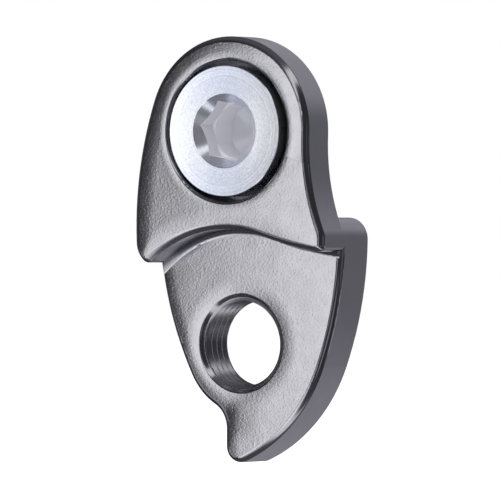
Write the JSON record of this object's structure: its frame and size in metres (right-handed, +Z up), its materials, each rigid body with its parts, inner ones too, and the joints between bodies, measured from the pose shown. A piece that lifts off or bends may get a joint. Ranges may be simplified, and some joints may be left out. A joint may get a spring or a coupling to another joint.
{
  "type": "derailleur hanger extender",
  "caption": "Cast link that lowers a bicycle's rear derailleur: a counterbored upper lobe with its hollow-head hanger bolt, and a set-back lower lobe with a threaded hole and a stop tail.",
  "frame": {"origin": "on the hanger bolt's axis, in the flat seat at the back of the upper lobe that bears on the bicycle's hanger", "axes": "+Z up towards the round top of the upper lobe, +Y along the bolt's axis from the head to the thread's end, +X to the right as seen from the head side"},
  "size_m": [0.0242, 0.0138, 0.046],
  "materials": {
    "link_metal": "dark nickel-grey casting, tumbled, glossy with a fine pebbled grain",
    "bolt_steel": "bright turned metal with fine turning marks"
  },
  "bodies": {
    "root": {"link_body": "link_metal", "hanger_bolt": "bolt_steel"}
  },
  "joints": []
}
